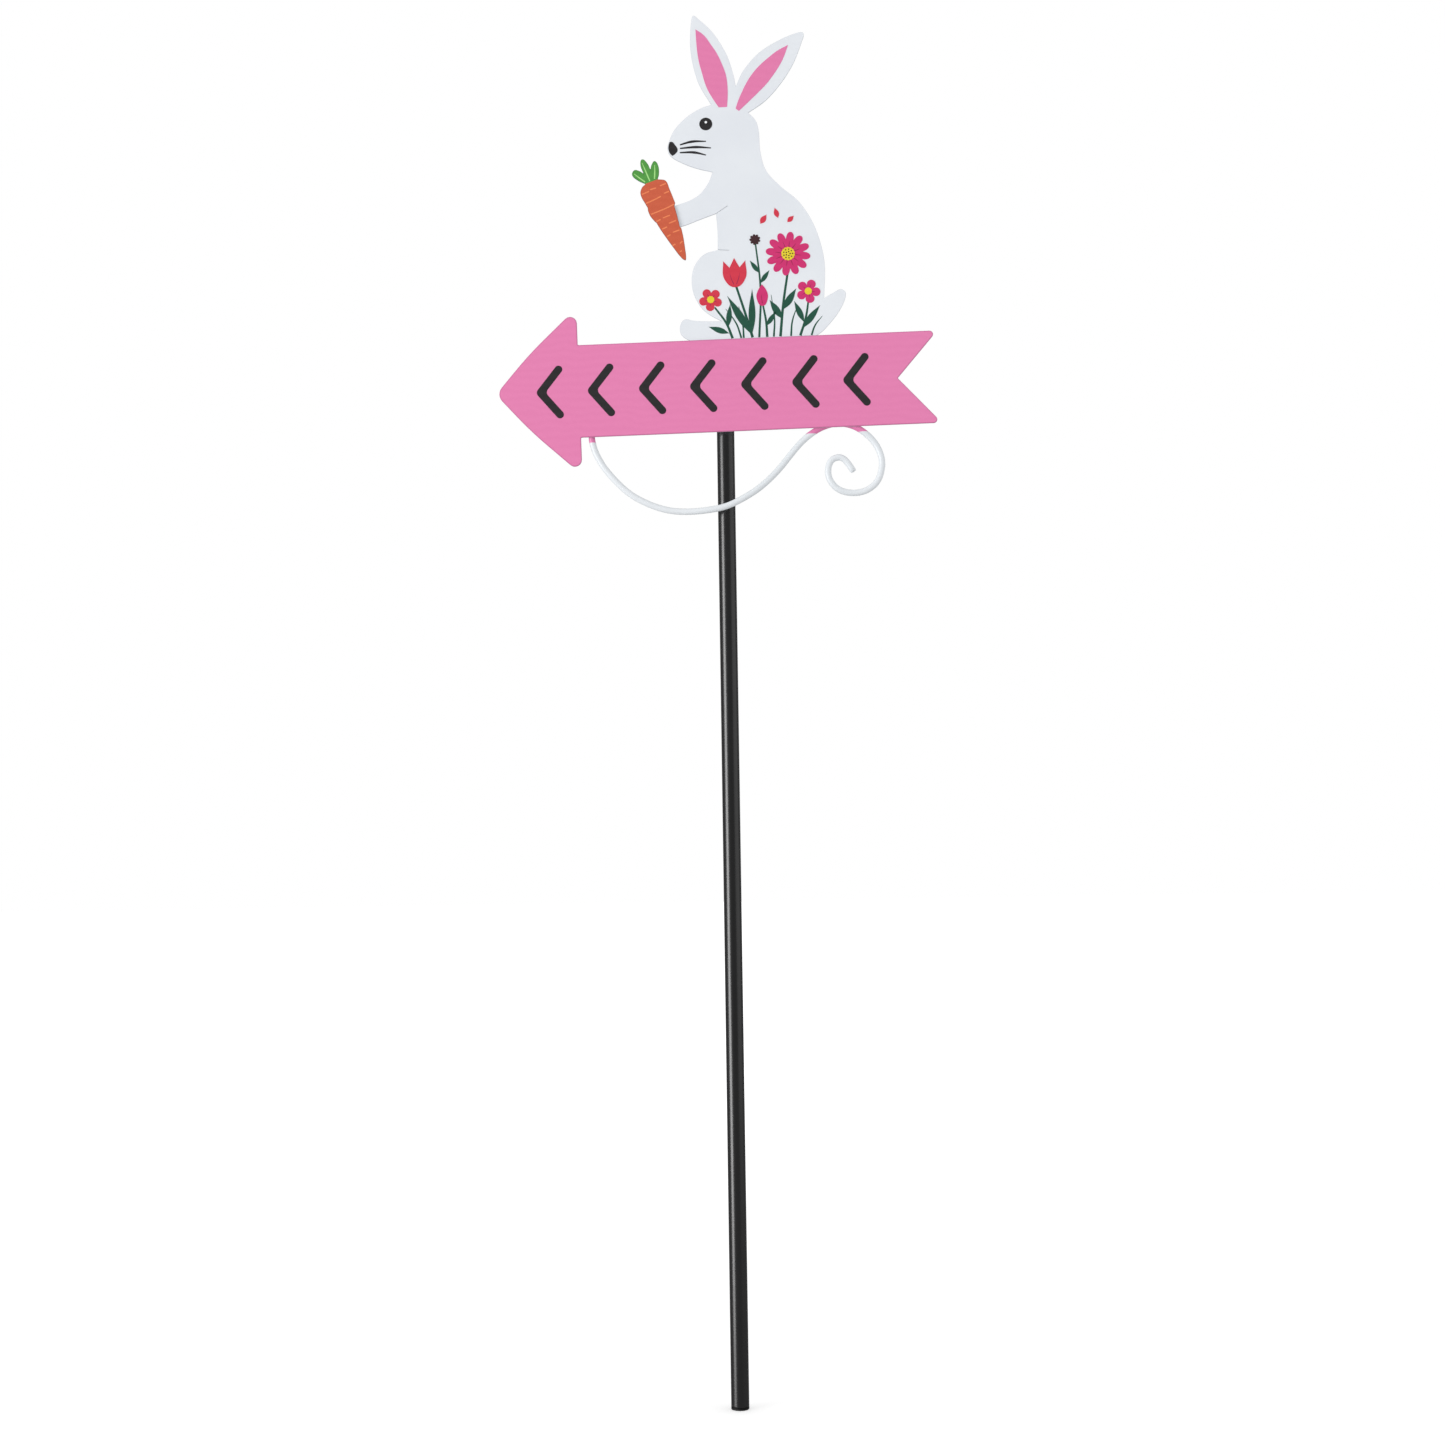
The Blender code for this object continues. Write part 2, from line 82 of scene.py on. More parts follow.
def new_finish(name):
    """A new material, its nodes, its shader and the place on the piece."""
    material = bpy.data.materials.new(name)
    material.use_nodes = True
    tree = material.node_tree
    return material, tree, tree.nodes["Principled BSDF"], add(tree, "TexCoord").outputs["Object"]


def two_tone(material, share, colour, deep):
    """Colours a finish: one colour that turns to another by a share from 0 to 1."""
    tree = material.node_tree
    tone = add(tree, "Mix", {0: share, 6: linear(colour), 7: linear(deep)}, data_type="RGBA")
    tree.links.new(tone.outputs[2], tree.nodes["Principled BSDF"].inputs["Base Color"])


def lay_over(material, share, colour):
    """Lays another colour over a finish that has its own, by a share from 0 to 1."""
    tree = material.node_tree
    base = tree.nodes["Principled BSDF"].inputs["Base Color"]
    under = base.links[0].from_socket
    over = add(tree, "Mix", {0: share, 6: under, 7: linear(colour)}, data_type="RGBA")
    tree.links.new(over.outputs[2], base)


def powder_coat(name, colour, deep, edge, gloss, peel):
    """Polyester powder baked on steel: an even colour with faint deeper clouds 40 mm across, and the soft
    dimples that the powder leaves as it melts. The edge colour is painted shade, laid by the rim attribute
    on the rolled edges and walls of cut sheets. The dimples, about 1 mm across, are drawn at 2.5 mm so that
    they show."""
    material, tree, shader, place = new_finish(name)
    cloud = add(tree, "TexNoise", {"Vector": place, "Scale": 1 / CLOUD, "Detail": 3.0}).outputs["Fac"]
    two_tone(material, add(tree, "MapRange", {0: cloud, 1: 0.35, 2: 0.65}).outputs[0], colour, deep)
    # Painted shade: the edge colour laid on the rolled edges and walls by the rim attribute.
    lay_over(material, add(tree, "Attribute", attribute_name="rim").outputs["Fac"], edge)
    dimples = add(tree, "TexNoise", {"Vector": place, "Scale": 1 / DIMPLE, "Detail": 1.0}).outputs["Fac"]
    bump = add(tree, "Bump", {"Height": dimples, "Strength": peel, "Distance": DIMPLE_DEPTH})
    tree.links.new(bump.outputs["Normal"], shader.inputs["Normal"])
    rough = add(tree, "MapRange", {0: dimples, 1: 0.3, 2: 0.7, 3: gloss - 0.01, 4: gloss + 0.02}).outputs[0]
    tree.links.new(rough, shader.inputs["Roughness"])
    shader.inputs["IOR"].default_value = 1.58
    return material


def spun(profile, sides=POST_SIDES):
    """A solid turned about the post's axis from (radius, height) points, the last joined to the first."""
    shape = bmesh.new()
    points = [shape.verts.new((radius, 0, height)) for radius, height in profile]
    edges = [shape.edges.new((points[index - 1], point)) for index, point in enumerate(points)]
    bmesh.ops.spin(
        shape, geom=points + edges, cent=(0, 0, 0), axis=(0, 0, 1), angle=2 * math.pi, steps=sides,
        use_merge=True,
    )
    bmesh.ops.remove_doubles(shape, verts=shape.verts, dist=MERGED)
    bmesh.ops.delete(shape, geom=[edge for edge in shape.edges if edge.is_wire], context="EDGES")
    bmesh.ops.recalc_face_normals(shape, faces=shape.faces)
    return shape


def soften(shape, width, segments, pick=lambda edge: True):
    """Rounds the sharp edges that pick accepts."""
    sharp = [edge for edge in shape.edges if edge.is_manifold and edge.calc_face_angle() > SHARP]
    bmesh.ops.bevel(
        shape, geom=[edge for edge in sharp if pick(edge)], offset=width, offset_type="OFFSET",
        segments=segments, profile=0.5, affect="EDGES", material=-1, clamp_overlap=True,
    )


def smooth_faces(shape):
    """Shades a shape's faces smooth, apart from its sharp edges."""
    for face in shape.faces:
        face.smooth = True
    return shape


def add_piece(name, shape, materials, body, node=None):
    """Makes a shape a piece that rides on a body and takes the given finishes, and hides the CAD node it
    stands for.
    """
    for edge in shape.edges:
        edge.smooth = edge.is_manifold and edge.calc_face_angle() < SHARP
    mesh = bpy.data.meshes.new(name)
    shape.to_mesh(mesh)
    shape.free()
    for material in materials:
        mesh.materials.append(material)
    piece = bpy.data.objects.new(name, mesh)
    bpy.context.scene.collection.objects.link(piece)
    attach(piece, body)
    if node:
        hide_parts(node)
    return piece


black_coat = powder_coat("satin_black_powder_coat", "0D0D0E", "101012", "1A1A1C", 0.28, 0.010)
black_coat.node_tree.nodes["Principled BSDF"].inputs["Specular IOR Level"].default_value = 0.9
post_low, post_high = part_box("post_tube")
post_radius = post_high.x
bore_radius = post_radius - POST_WALL
# A ring near each end keeps the rounding's shading off the long wall between them.
heights = (post_high.z, post_high.z - END_RING, post_low.z + END_RING, post_low.z)
post = spun(
    [(post_radius, height) for height in heights] + [(bore_radius, height) for height in reversed(heights)]
)
soften(post, SAWN_EDGE, 2)
add_piece("steel_post", smooth_faces(post), [black_coat], "post", "post_tube")


# Plugs: black polyethylene end plugs, moulded, pushed into both ends of the tube and flush with it.
# The lower one keeps the soil out, and the upper one is hidden in the sign's socket.
PLUG_STEM_FIT = 0.0002
PLUG_ROUNDING = 0.0004
FOOT_HEAD = 0.0016
TOP_HEAD = 0.0015
MOULD_GRAIN = 0.0008
GRAIN_DEPTH = 0.0001
SAME_PLACE = 1e-6
Y, Z = 1, 2


def lies_at(edge, axis, level):
    """Whether an edge runs at one level along an axis."""
    return all(abs(vert.co[axis] - level) < SAME_PLACE for vert in edge.verts)


# Polyethylene from a grained mould: near black and waxy, with a grain that breaks up its shine. The grain,
# about 0.1 mm across, is drawn at 0.8 mm so that it shows.
moulded_black, tree, shader, place = new_finish("moulded_black_polyethylene")
grain = add(tree, "TexNoise", {"Vector": place, "Scale": 1 / MOULD_GRAIN, "Detail": 2.0}).outputs["Fac"]
two_tone(moulded_black, grain, "0B0B0C", "161617")
bump = add(tree, "Bump", {"Height": grain, "Strength": 0.2, "Distance": GRAIN_DEPTH})
tree.links.new(bump.outputs["Normal"], shader.inputs["Normal"])
shader.inputs["Roughness"].default_value = 0.55
shader.inputs["IOR"].default_value = 1.51

stem = bore_radius - PLUG_STEM_FIT
for name, node, flush, inner in (
    ("foot_end_plug", "post_foot_plug", 0, 1),
    ("top_end_plug", "post_top_plug", 1, 0),
):
    ends = [corner.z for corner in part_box(node)]
    shoulder = ends[flush] + (FOOT_HEAD if flush == 0 else -TOP_HEAD)
    plug = spun([
        (0, ends[inner]), (stem, ends[inner]), (stem, shoulder), (post_radius, shoulder),
        (post_radius, ends[flush]), (0, ends[flush]),
    ])
    soften(plug, PLUG_ROUNDING, 3, lambda edge: lies_at(edge, Z, ends[flush]))
    add_piece(name, smooth_faces(plug), [moulded_black], "post", node)


# Stop disc: a loose disc of natural nylon between the post's top and the socket's closed end,
# on which the sign rests and turns.
DISC_EDGE = 0.0003
MILK = 0.004

# Nylon with no dye: milky, warm white and half matt, a little uneven in its depth.
nylon, tree, shader, place = new_finish("natural_nylon")
milk = add(tree, "TexNoise", {"Vector": place, "Scale": 1 / MILK, "Detail": 2.0}).outputs["Fac"]
two_tone(nylon, milk, "E4DFD2", "D8D2C3")
shader.inputs["Roughness"].default_value = 0.45
shader.inputs["IOR"].default_value = 1.53

disc_low, disc_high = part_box("stop_disc")
disc = spun([(0, disc_high.z), (disc_high.x, disc_high.z), (disc_high.x, disc_low.z), (0, disc_low.z)])
soften(disc, DISC_EDGE, 2)
add_piece("nylon_stop_disc", smooth_faces(disc), [nylon], "stop", "stop_disc")


# Socket: a short steel tube with a closed top, welded to the sign's back and powder-coated white with it.
# It slips over the post.
SOCKET_EDGE = 0.00025
ONE_PLANE = math.radians(0.4)


def merged_copy(node):
    """A CAD node's shape with its triangles joined and its flat faces whole again."""
    mesh = frame["nodes"][node].data.copy()
    if mesh.has_custom_normals:
        mesh.attributes.remove(mesh.attributes["custom_normal"])
    shape = bmesh.new()
    shape.from_mesh(mesh)
    bpy.data.meshes.remove(mesh)
    bmesh.ops.remove_doubles(shape, verts=shape.verts, dist=SAME_PLACE)
    bmesh.ops.dissolve_limit(shape, angle_limit=ONE_PLANE, verts=shape.verts, edges=shape.edges)
    for face in shape.faces:
        face.material_index = 0
    return shape


# Its edge colour is painted shade on the rolled edges and walls of the cut sheets.
white_coat = powder_coat("white_powder_coat", "E4E8ED", "E0E4EA", "BFC5CC", 0.36, 0.03)
socket_ends = [corner.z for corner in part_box("socket_tube")]
socket = merged_copy("socket_tube")
soften(socket, SOCKET_EDGE, 2, lambda edge: any(lies_at(edge, Z, end) for end in socket_ends))
for height in (socket_ends[0] + END_RING, socket_ends[1] - END_RING):
    bmesh.ops.bisect_plane(
        socket, geom=socket.verts[:] + socket.edges[:] + socket.faces[:], plane_co=(0, 0, height),
        plane_no=(0, 0, 1), dist=SAME_PLACE,
    )
add_piece("socket_sleeve", smooth_faces(socket), [white_coat], "sign", "socket_tube")


# Nut and thumb screw: a zinc-plated hexagon nut welded over a hole in the socket's back, and a knurled
# screw that runs through it and grips the post.
NUT_EDGE = 0.0005
SCREW_RADIUS = 0.0025
THREAD_PITCH = 0.0008
THREAD_DEPTH = 0.0004
THREAD_STEPS = 36
THREAD_SINK = 1.3
CORE_SIDES = 48
KNOB_LENGTH = 0.0060
KNURLS = 40
KNURL_DEPTH = 0.0005
KNOB_EDGE = 0.0006
SPANGLE = 0.0025

# Zinc plated bright on steel: a pale metal with faint warm clouds, shinier in some places than in others.
zinc, tree, shader, place = new_finish("bright_zinc_plate")
spangle = add(tree, "TexNoise", {"Vector": place, "Scale": 1 / SPANGLE, "Detail": 3.0}).outputs["Fac"]
two_tone(zinc, spangle, "C9CBCF", "BDB9AE")
rough = add(tree, "MapRange", {0: spangle, 1: 0.3, 2: 0.7, 3: 0.24, 4: 0.40}).outputs[0]
tree.links.new(rough, shader.inputs["Roughness"])
shader.inputs["Metallic"].default_value = 1.0

nut_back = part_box("weld_nut")[1].y
nut = merged_copy("weld_nut")
soften(nut, NUT_EDGE, 2, lambda edge: lies_at(edge, Y, nut_back))
add_piece("hexagon_nut", smooth_faces(nut), [zinc], "sign", "weld_nut")

screw_low, screw_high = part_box("thumb_screw")
knob_radius = screw_high.x
shank = screw_high.y - KNOB_LENGTH - screw_low.y
screw = bmesh.new()
rim = bmesh.ops.create_circle(screw, cap_ends=True, segments=2 * KNURLS, radius=knob_radius)["verts"]
for index, vert in enumerate(rim):
    vert.co *= 1 - (index % 2) * KNURL_DEPTH / knob_radius
raised = bmesh.ops.extrude_face_region(screw, geom=screw.faces[:])["geom"]
bmesh.ops.translate(
    screw, verts=[v for v in raised if isinstance(v, bmesh.types.BMVert)], vec=(0, 0, KNOB_LENGTH)
)
bmesh.ops.recalc_face_normals(screw, faces=screw.faces)
soften(screw, KNOB_EDGE, 2, lambda edge: lies_at(edge, Z, edge.verts[0].co.z))
bmesh.ops.translate(screw, verts=screw.verts, vec=(0, 0, shank))
core = bmesh.ops.create_cone(
    screw, cap_ends=True, segments=CORE_SIDES, radius1=SCREW_RADIUS - THREAD_DEPTH,
    radius2=SCREW_RADIUS - THREAD_DEPTH, depth=shank,
)["verts"]
bmesh.ops.translate(screw, verts=core, vec=(0, 0, shank / 2))
# The thread is one ridge wound round the core. Its root is sunk in the core, and it starts half a pitch
# from the tip.
turns = int(shank / THREAD_PITCH) - 1
root = SCREW_RADIUS - THREAD_SINK * THREAD_DEPTH
ridge = [
    screw.verts.new((radius, 0, THREAD_PITCH * (0.5 + along)))
    for radius, along in ((root, 0), (SCREW_RADIUS, 0.38), (SCREW_RADIUS, 0.52), (root, 0.9))
]
start = screw.faces.new(ridge)
bmesh.ops.spin(
    screw, geom=[start], cent=(0, 0, 0), axis=(0, 0, 1), dvec=(0, 0, THREAD_PITCH / THREAD_STEPS),
    angle=2 * math.pi * turns, steps=THREAD_STEPS * turns,
)
bmesh.ops.recalc_face_normals(screw, faces=screw.faces)
bmesh.ops.transform(
    screw, verts=screw.verts,
    matrix=Matrix.Translation((0, screw_low.y, (screw_low.z + screw_high.z) / 2))
    @ Matrix.Rotation(-math.pi / 2, 4, "X"),
)
add_piece("knurled_thumb_screw", smooth_faces(screw), [zinc], "screw", "thumb_screw")


# Arrow: cut from 1.2 mm sheet steel, its front edge rolled a little by the cut, coated white all over and
# then printed pink on the front. The rabbit's tab and the wire are welded to its back.
ROLLED_EDGE = 0.0005
BACK_EDGE = 0.00015
INK_BAND = 0.0006
PASS_WIDTH = 0.0060
WAVE_PERIOD = 0.314
INK_GRAIN = 0.0007
INK_RELIEF = 0.0001
FLAT = 0.999
SIDEWAYS = 0.05
# How strongly the painted edge shade is laid on the rolled edge, the ink band and the wall.
ROLL_SHADE, BAND_SHADE, WALL_SHADE = 1.0, 0.5, 0.4


def print_ink(name, colour, deep, edge=None):
    """Ink jetted on the coat and cured: satin, laid in passes 6 mm wide that overlap a little unevenly,
    with a grain of droplets. The edge colour is painted shade, laid by the rim attribute along the sheet's
    rim. Droplets, under 0.1 mm across, are drawn at 0.7 mm so that they show."""
    material, tree, shader, place = new_finish(name)
    scale = WAVE_PERIOD / PASS_WIDTH
    passes = add(
        tree, "TexWave", {"Vector": place, "Scale": scale, "Distortion": 6.0, "Detail": 2.0},
        bands_direction="Z",
    ).outputs["Fac"]
    grain = add(tree, "TexNoise", {"Vector": place, "Scale": 1 / INK_GRAIN, "Detail": 2.0}).outputs["Fac"]
    share = add(tree, "Math", {0: passes, 1: 0.25, 2: grain}, operation="MULTIPLY_ADD").outputs[0]
    two_tone(material, add(tree, "MapRange", {0: share, 1: 0.3, 2: 1.0}).outputs[0], colour, deep)
    if edge:
        # Painted shade: the edge colour laid along the sheet's rim by the rim attribute.
        lay_over(material, add(tree, "Attribute", attribute_name="rim").outputs["Fac"], edge)
    bump = add(tree, "Bump", {"Height": grain, "Strength": 0.06, "Distance": INK_RELIEF})
    tree.links.new(bump.outputs["Normal"], shader.inputs["Normal"])
    shader.inputs["Roughness"].default_value = 0.38
    return material


def cut_sheet(node, band=0.0):
    """A CAD plate with its front edge rolled. The rim attribute, which lays the finishes' painted edge shade,
    is strongest on that edge, weaker on the wall and 0 on the flats. Where the front is printed, band is the
    width along its edge in which the ink is darkened by that painted shade, and material 0 is the front's and
    1 the walls' and the back's."""
    shape = merged_copy(node)
    low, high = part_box(node)
    for depth, width, segments in ((low.y, ROLLED_EDGE, 3), (high.y, BACK_EDGE, 1)):
        soften(shape, width, segments, lambda edge: lies_at(edge, Y, depth))
    # The rim attribute carries the painted edge shade.
    rim = shape.verts.layers.float.new("rim")
    for vert in shape.verts:
        off_front = vert.co.y - low.y
        flat = min(off_front, high.y - vert.co.y) < SAME_PLACE
        vert[rim] = 0.0 if flat else ROLL_SHADE if off_front < 0.9 * ROLLED_EDGE else WALL_SHADE
    if band:
        shape.normal_update()
        facing = [face for face in shape.faces if face.normal.y < -FLAT]
        front = max(facing, key=lambda face: face.calc_area())
        for vert in front.verts:
            vert[rim] = BAND_SHADE
        bmesh.ops.inset_region(shape, faces=[front], thickness=band, use_even_offset=True)
        for vert in front.verts:
            vert[rim] = 0.0
    shape.normal_update()
    for face in shape.faces:
        face.smooth = abs(face.normal.y) < FLAT
        face.material_index = 1 if band and face.normal.y > -SIDEWAYS else 0
    return shape


# C06794 is painted shade along the arrow's rim.
board_ink = print_ink("pink_board_ink", "E581B2", "E07AAC", "C06794")
arrow = cut_sheet("arrow_board", INK_BAND)
add_piece("arrow_sheet", arrow, [board_ink, white_coat], "sign", "arrow_board")


# Rabbit: cut from the same sheet, with slits that draw its arm and thigh, and powder-coated white.
# A tab under its feet runs down behind the arrow and is welded to it and to the socket.
rabbit = cut_sheet("rabbit_plate")
add_piece("rabbit_sheet", rabbit, [white_coat], "sign", "rabbit_plate")


# Carrot: cut from the same sheet, welded to the paw from behind and printed to its edges,
# the root orange and the leaves green. CROWN is the line where they meet.
LEAN = math.radians(1.55)
BOARD_EDGE = 0.0354
MM = 0.001
CROWN = ((-54.1, 122.2), (-44.1, 125.4))

# The prints and the crown are drawn on the leaning sign, in mm from the board's upper edge at the post's axis.
swivel = next(joint for joint in frame["joints"] if joint["name"] == "sign_swivel")
pivot = Vector(swivel["pos_m"])
on_sign = Matrix.Translation(pivot) @ Matrix.Rotation(-LEAN, 4, "Y")
on_board = on_sign @ Matrix.Translation((0, 0, BOARD_EDGE))

# Their third colours are painted shade along the carrot's rim.
root_ink = print_ink("orange_root_ink", "D05F3F", "C95838", "7E3E2C")
leaf_ink = print_ink("green_leaf_ink", "55A045", "4B953D", "2A6432")
carrot = cut_sheet("carrot_plate", INK_BAND / 2)
left, right = (on_board @ Vector((x * MM, 0, z * MM)) for x, z in CROWN)
crown_up = (right - left).cross(Vector((0, 1, 0))).normalized()
crown_up *= 1 if crown_up.z > 0 else -1
bmesh.ops.bisect_plane(
    carrot, geom=carrot.verts[:] + carrot.edges[:] + carrot.faces[:], plane_co=left, plane_no=crown_up,
    dist=SAME_PLACE,
)
for face in carrot.faces:
    if face.material_index == 0 and (face.calc_center_median() - left).dot(crown_up) > 0:
        face.material_index = 2
add_piece("carrot_sheet", carrot, [root_ink, white_coat, leaf_ink], "sign", "carrot_plate")


# Scroll: 4.8 mm steel wire bent cold into a bow and a curl, welded behind the board at its left end and
# at the crest of the curl, and powder-coated white. The board's print has caught it just below the edge.
ROUNDING_LOSS = 0.00011
OVERSPRAY = 0.0040
OVERSPRAY_FADE = 0.0004

scroll_coat = powder_coat("white_powder_coat_on_wire", "E3E7EB", "DEE3E7", "BFC5CC", 0.34, 0.01)
tree = scroll_coat.node_tree
place = add(tree, "TexCoord").outputs["Object"]
on_plane = add(
    tree, "Mapping", {"Vector": place, "Location": pivot, "Rotation": (0, -LEAN, 0)}, vector_type="TEXTURE"
).outputs[0]
height = add(tree, "SeparateXYZ", {0: on_plane}).outputs["Z"]
end = -BOARD_EDGE - OVERSPRAY
caught = add(tree, "MapRange", {0: height, 1: end, 2: end + OVERSPRAY_FADE}).outputs[0]
lay_over(scroll_coat, caught, "E27CAF")
# The subdivision draws the wire in, so it is swelled by as much first.
wire = merged_copy("scroll_wire")
wire.normal_update()
for vert in wire.verts:
    vert.co += vert.normal * ROUNDING_LOSS
scroll = add_piece("scroll_rod", smooth_faces(wire), [scroll_coat], "sign", "scroll_wire")
rounding = scroll.modifiers.new("rounding", "SUBSURF")
rounding.levels = rounding.render_levels = 1


# Welds: short beads of filler along the socket, the rabbit's tab, the paw and the wire's two seats,
# laid in small overlapping ripples and coated white with the rest.
RIPPLE = 0.0014
RIPPLE_HEIGHT = 0.00010
RIPPLE_CUTS = 3

for node in (
    "socket_weld_left", "socket_weld_right", "tab_weld_left", "tab_weld_right", "carrot_weld",
    "wire_weld_left", "wire_weld_right",
):
    bead = merged_copy(node)
    low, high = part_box(node)
    axis = max(range(3), key=lambda side: (high - low)[side])
    bmesh.ops.subdivide_edges(bead, edges=bead.edges, cuts=RIPPLE_CUTS, smooth=1.0, use_grid_fill=True)
    bead.normal_update()
    for vert in bead.verts:
        wave = math.sin(2 * math.pi * vert.co[axis] / RIPPLE)
        vert.co += vert.normal * RIPPLE_HEIGHT * (wave - 1)
    add_piece(node.replace("weld", "bead"), smooth_faces(bead), [white_coat], "sign", node)


# The rabbit's print: ink films on the white coat, sharp at the edge and just proud of it.
# Pink ears, and a black eye, nose and whiskers.
FILM = 0.00010
CURVE_STEPS = 8
EYE = (-6.1, 167.4)
EYE_RADIUS = 4.95
GLINT = (0.1, 1.35)
GLINT_RADIUS = 0.95
GLINT_LAYER = 2

pink_ink = print_ink("pink_ear_ink", "E47DAD", "DF76A7")
black_ink = print_ink("black_ink", "282628", "312F31")
white_ink = print_ink("white_ink", "F4F6F7", "ECEFF1")


def curve_to_ink(ink, curve, place):
    """Adds a curve's mesh to a print, moved by this matrix."""
    drawing = bpy.data.objects.new("drawing", curve)
    bpy.context.scene.collection.objects.link(drawing)
    graph = bpy.context.evaluated_depsgraph_get()
    mesh = bpy.data.meshes.new_from_object(drawing.evaluated_get(graph))
    mesh.transform(place)
    ink.from_mesh(mesh)
    bpy.data.meshes.remove(mesh)
    bpy.data.objects.remove(drawing)
    bpy.data.curves.remove(curve)


def patch(ink, outline, layer=1):
    """Prints inside a smooth closed outline of (x, z) points in mm. A point with a third value is a corner.
    Each layer is one film's thickness prouder."""
    curve = bpy.data.curves.new("outline", "CURVE")
    curve.dimensions = "2D"
    curve.fill_mode = "BOTH"
    curve.extrude = layer * FILM
    curve.resolution_u = CURVE_STEPS
    spline = curve.splines.new("BEZIER")
    spline.bezier_points.add(len(outline) - 1)
    spline.use_cyclic_u = True
    for knot, (x, z, *corner) in zip(spline.bezier_points, outline):
        knot.co = (x * MM, z * MM, 0)
        knot.handle_left_type = knot.handle_right_type = "VECTOR" if corner else "AUTO"
    curve_to_ink(ink, curve, Matrix.Rotation(math.pi / 2, 4, "X"))


def dot(ink, x, z, radius, layer=1):
    """Prints a round dot, given in mm."""
    patch(ink, [(x + radius, z), (x, z + radius), (x - radius, z), (x, z - radius)], layer)


def line(ink, points, layer=1):
    """Prints a line through (x, z, width) points in mm: a tube pressed flat on the sheet."""
    curve = bpy.data.curves.new("line", "CURVE")
    curve.dimensions = "3D"
    curve.bevel_depth = 0.5
    curve.bevel_resolution = 2
    curve.use_fill_caps = True
    curve.resolution_u = CURVE_STEPS
    spline = curve.splines.new("BEZIER")
    spline.bezier_points.add(len(points) - 1)
    for knot, (x, z, width) in zip(spline.bezier_points, points):
        knot.co = (x * MM, 0, z * MM)
        knot.handle_left_type = knot.handle_right_type = "AUTO"
        knot.radius = width * MM
    widest = max(width for _, _, width in points) * MM
    curve_to_ink(ink, curve, Matrix.Scale(2 * layer * FILM / widest, 4, (0, 1, 0)))


def add_print(name, ink, material, node):
    """Lays a print, drawn from the board's upper edge at the post's axis, on the front of a plate."""
    bmesh.ops.remove_doubles(ink, verts=ink.verts, dist=MERGED)
    bmesh.ops.recalc_face_normals(ink, faces=ink.faces)
    bmesh.ops.translate(ink, verts=ink.verts, vec=(0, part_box(node)[0].y, 0))
    bmesh.ops.transform(ink, verts=ink.verts, matrix=on_board)
    return add_piece(name, smooth_faces(ink), [material], "sign")


ears = bmesh.new()
patch(ears, [
    (-10.9, 241.9, 1), (-5.0, 237.3), (0.5, 229.2), (4.8, 221.9), (8.4, 213.1), (10.8, 205.2),
    (11.7, 193.4), (10.7, 180.1, 1), (4.3, 180.0, 1), (0.1, 186.9), (-4.2, 195.7), (-7.6, 208.4),
    (-9.6, 217.9), (-10.8, 233.7),
])
patch(ears, [
    (59.2, 226.7, 1), (51.0, 222.6), (43.8, 217.4), (35.9, 210.7), (30.0, 204.0), (25.6, 197.3),
    (22.0, 190.4), (18.9, 183.6), (17.1, 178.5, 1), (19.6, 176.6, 1), (27.1, 183.3), (34.3, 189.9),
    (41.2, 196.6), (46.7, 203.3), (51.5, 210.1), (55.3, 216.9),
])
add_print("ear_print", ears, pink_ink, "rabbit_plate")

features = bmesh.new()
dot(features, *EYE, EYE_RADIUS)
patch(features, [
    (-34.2, 154.4, 1), (-32.5, 154.6), (-30.2, 152.1), (-28.3, 148.1), (-29.7, 145.5), (-32.4, 143.6, 1),
    (-34.0, 145.2), (-35.2, 148.4), (-35.1, 151.6),
])
line(features, [(-26.4, 152.0, 1.1), (-17.1, 154.1, 2.0), (-6.5, 153.9, 0.9)])
line(features, [(-26.5, 149.2, 1.1), (-14.2, 149.7, 2.0), (-2.9, 148.6, 0.9)])
line(features, [(-26.7, 145.9, 1.1), (-15.9, 145.6, 2.0), (-6.9, 143.2, 0.9)])
add_print("face_print", features, black_ink, "rabbit_plate")

glint = bmesh.new()
dot(glint, EYE[0] + GLINT[0], EYE[1] + GLINT[1], GLINT_RADIUS, GLINT_LAYER)
add_print("eye_glint", glint, white_ink, "rabbit_plate")


# The haunch's print: a meadow of flowers in a few flat inks, stems first, then leaves, petals and centres,
# each a little proud of the one below.
STEM = 1.9
DAISY, DAISY_PETALS, DAISY_TURN = (52.0, 64.0), 12, 0.1
RIGHT_BLOSSOM, RIGHT_PETALS, RIGHT_TURN = (66.0, 34.5), 5, 0.5
LEFT_BLOSSOM, LEFT_PETALS, LEFT_TURN = (-8.0, 31.0), 5, 0.2
PETAL_STEPS = 14
PETAL_ROUNDNESS = 0.45
LEAF_BELLY = 0.42
SEED = 0.5
PETAL_LAYER, CREASE_LAYER, CENTRE_LAYER, SEED_LAYER = 2, 3, 4, 5

stem_ink = print_ink("dark_green_ink", "1F5A45", "1A5140")
magenta_ink = print_ink("magenta_ink", "D42B73", "CB2469")
red_ink = print_ink("red_ink", "D8344A", "CF2C43")
yellow_ink = print_ink("yellow_ink", "E8D42A", "E0C722")
crease_ink = print_ink("deep_red_ink", "9E1B4E", "941748")
brown_ink = print_ink("brown_ink", "4A2A2E", "422529")


def print_face(ink, verts, x, z, layer):
    """Gives a flat shape, drawn round the origin in mm, a film's thickness and lays it at (x, z)."""
    raised = bmesh.ops.extrude_face_region(ink, geom=[verts[0].link_faces[0]])["geom"]
    top = [v for v in raised if isinstance(v, bmesh.types.BMVert)]
    upright = Matrix.Rotation(math.pi / 2, 4, "X") @ Matrix.Scale(MM, 4)
    place = Matrix.Translation((x * MM, 0, z * MM)) @ upright
    bmesh.ops.transform(ink, verts=verts + top, matrix=place)
    bmesh.ops.translate(ink, verts=top, vec=(0, -layer * FILM, 0))


